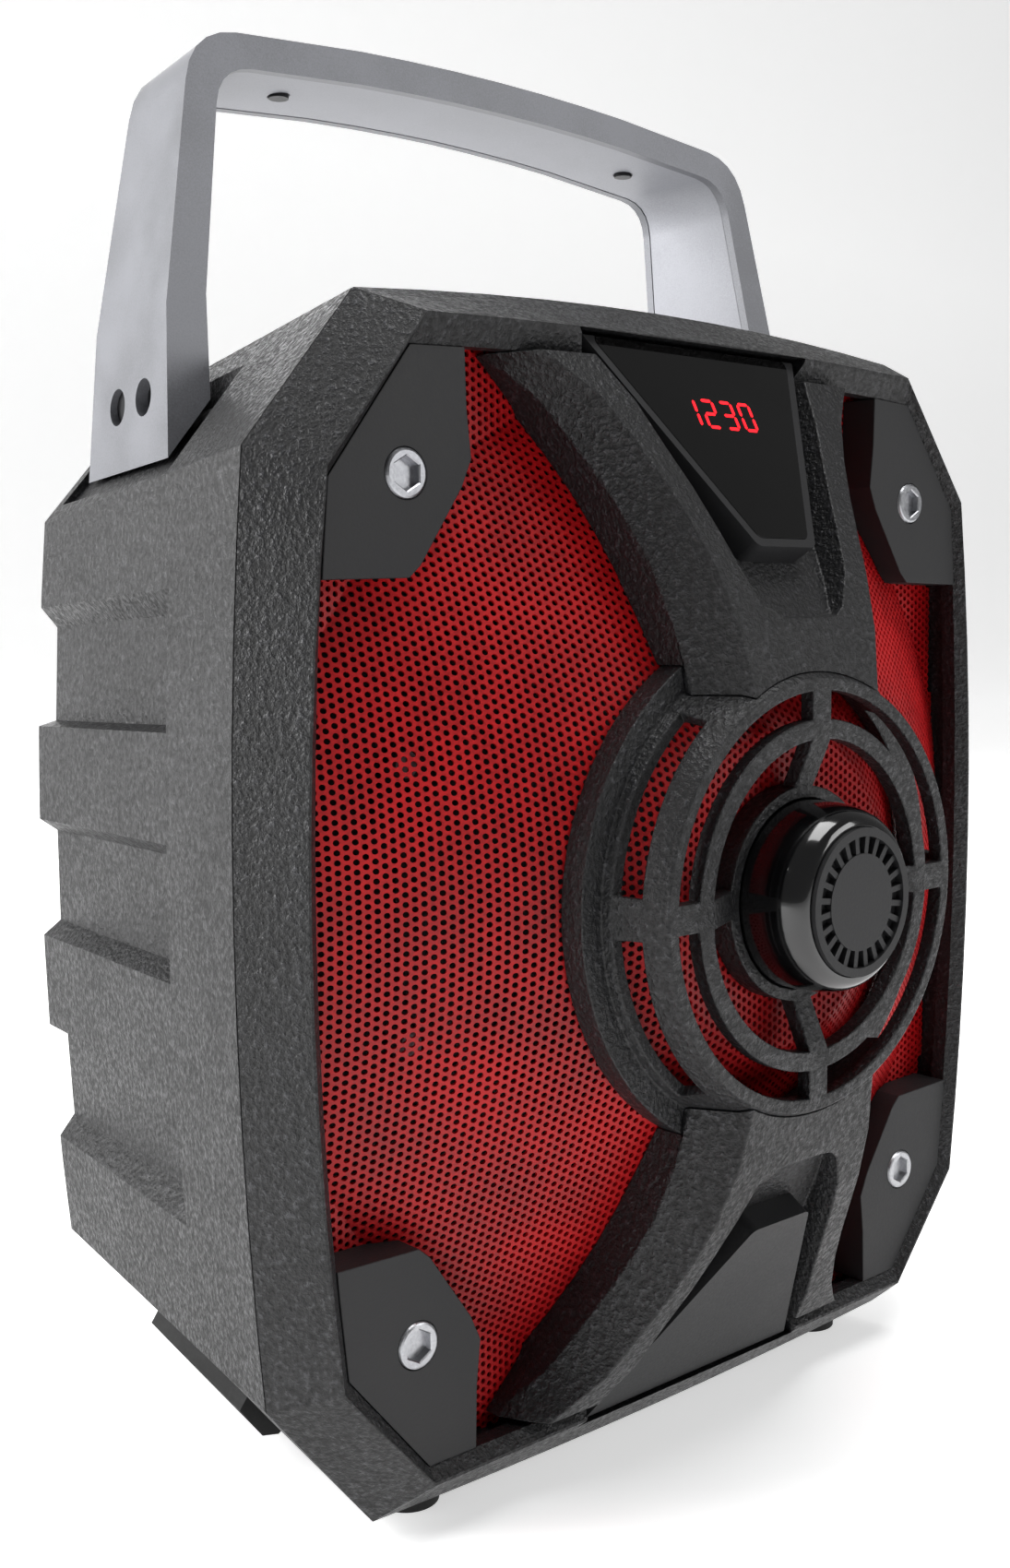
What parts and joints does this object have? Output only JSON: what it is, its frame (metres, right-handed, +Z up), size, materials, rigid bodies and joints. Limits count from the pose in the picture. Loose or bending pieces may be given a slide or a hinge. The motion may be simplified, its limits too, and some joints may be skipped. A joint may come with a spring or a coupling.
{
  "type": "party speaker",
  "caption": "Portable party speaker: octagonal moulded cabinet, fixed carrying handle, perforated red grille, vented ring with bullet tweeter, lit display and rear control panel.",
  "frame": {"origin": "centre of the bounding box in x and y, on the plane that the feet stand on", "axes": "+X to the right seen from the front, +Y to the back, +Z up"},
  "size_m": [0.2944, 0.1962, 0.4142],
  "materials": {
    "textured_abs": "pebble-textured moulded ABS",
    "matte_abs": "fine matt moulded ABS",
    "gloss_black": "gloss moulded ABS",
    "smoked_acrylic": "dark gloss acrylic",
    "led_module": "red seven-segment display",
    "red_steel": "red powder-coated perforated steel",
    "silver_paint": "satin silver paint",
    "silver_abs": "satin silver moulded ABS",
    "chromed_steel": "chrome",
    "zinc_screws": "zinc plated",
    "rubber": "matt",
    "fibreboard": "black painted MDF",
    "black_steel": "black stoved paint",
    "paper_cone": "pressed paper",
    "spider_cloth": "treated cloth",
    "panel_abs": "fine matt moulded ABS",
    "circuit_board": "green solder mask",
    "battery_wrap": "blue shrink wrap",
    "knob_plastic": "satin moulded",
    "button_plastic": "satin moulded",
    "rocker_red": "gloss moulded",
    "driver_metal": "pressed"
  },
  "bodies": {
    "root_body": {"front_bezel": "textured_abs", "spine_trim": "textured_abs", "ring_guard": "textured_abs", "grille": "red_steel", "bracket_top_left": "matte_abs", "bracket_top_right": "matte_abs", "bracket_bottom_left": "matte_abs", "bracket_bottom_right": "matte_abs", "bracket_screws": "chromed_steel", "display_housing": "matte_abs", "display_window": "smoked_acrylic", "display_module": "led_module", "lower_trim": "matte_abs", "tweeter_bullet": "gloss_black", "tweeter_cap": "matte_abs", "tweeter_driver": "driver_metal", "handle_band": "silver_paint", "handle_liner": "silver_abs", "handle_liner_screws": "black_steel", "handle_bolts": "black_steel", "rear_shell": "textured_abs", "feet": "rubber", "shell_screws": "zinc_screws", "baffle": "fibreboard", "woofer_basket": "black_steel", "woofer_magnet": "black_steel", "woofer_surround": "rubber", "woofer_spider": "spider_cloth", "woofer_screws": "zinc_screws", "control_panel": "panel_abs", "panel_screws": "zinc_screws", "amp_board": "circuit_board", "battery_pack": "battery_wrap", "battery_strap": "zinc_screws", "switch_frame": "panel_abs", "mic_jack": "panel_abs", "aux_jack": "panel_abs", "usb_socket": "chromed_steel", "dc_jack": "panel_abs", "charge_light": "led_module"},
    "volume": {"volume_knob": "knob_plastic", "volume_shaft": "zinc_screws"},
    "mic": {"mic_knob": "knob_plastic", "mic_shaft": "zinc_screws"},
    "echo": {"echo_knob": "knob_plastic", "echo_shaft": "zinc_screws"},
    "rocker": {"power_rocker": "rocker_red"},
    "cone": {"woofer_cone": "paper_cone"},
    "previous_key": {"button_previous": "button_plastic"},
    "play_key": {"button_play": "button_plastic"},
    "next_key": {"button_next": "button_plastic"},
    "mode_key": {"button_mode": "button_plastic"},
    "lights_key": {"button_lights": "button_plastic"}
  },
  "joints": [
    {"name": "volume_turn", "type": "hinge", "parent": "root_body", "child": "volume", "pos_m": [-0.048, 0.0881, 0.1957], "axis": [0, 1, 0], "range_deg": [-150, 150]},
    {"name": "mic_turn", "type": "hinge", "parent": "root_body", "child": "mic", "pos_m": [-0.012, 0.0881, 0.1997], "axis": [0, 1, 0], "range_deg": [-150, 150]},
    {"name": "echo_turn", "type": "hinge", "parent": "root_body", "child": "echo", "pos_m": [0.018, 0.0881, 0.1997], "axis": [0, 1, 0], "range_deg": [-150, 150]},
    {"name": "previous_press", "type": "slide", "parent": "root_body", "child": "previous_key", "axis": [0, -1, 0], "range_m": [0, 0.001], "stiffness_N_per_m": 400},
    {"name": "play_press", "type": "slide", "parent": "root_body", "child": "play_key", "axis": [0, -1, 0], "range_m": [0, 0.001], "stiffness_N_per_m": 400},
    {"name": "next_press", "type": "slide", "parent": "root_body", "child": "next_key", "axis": [0, -1, 0], "range_m": [0, 0.001], "stiffness_N_per_m": 400},
    {"name": "mode_press", "type": "slide", "parent": "root_body", "child": "mode_key", "axis": [0, -1, 0], "range_m": [0, 0.001], "stiffness_N_per_m": 400},
    {"name": "lights_press", "type": "slide", "parent": "root_body", "child": "lights_key", "axis": [0, -1, 0], "range_m": [0, 0.001], "stiffness_N_per_m": 400},
    {"name": "power_toggle", "type": "hinge", "parent": "root_body", "child": "rocker", "pos_m": [0.054, 0.0851, 0.1957], "axis": [0, 0, 1], "range_deg": [-16, 0]},
    {"name": "cone_stroke", "type": "slide", "parent": "root_body", "child": "cone", "axis": [0, 1, 0], "range_m": [-0.004, 0.004], "stiffness_N_per_m": 2500}
  ]
}
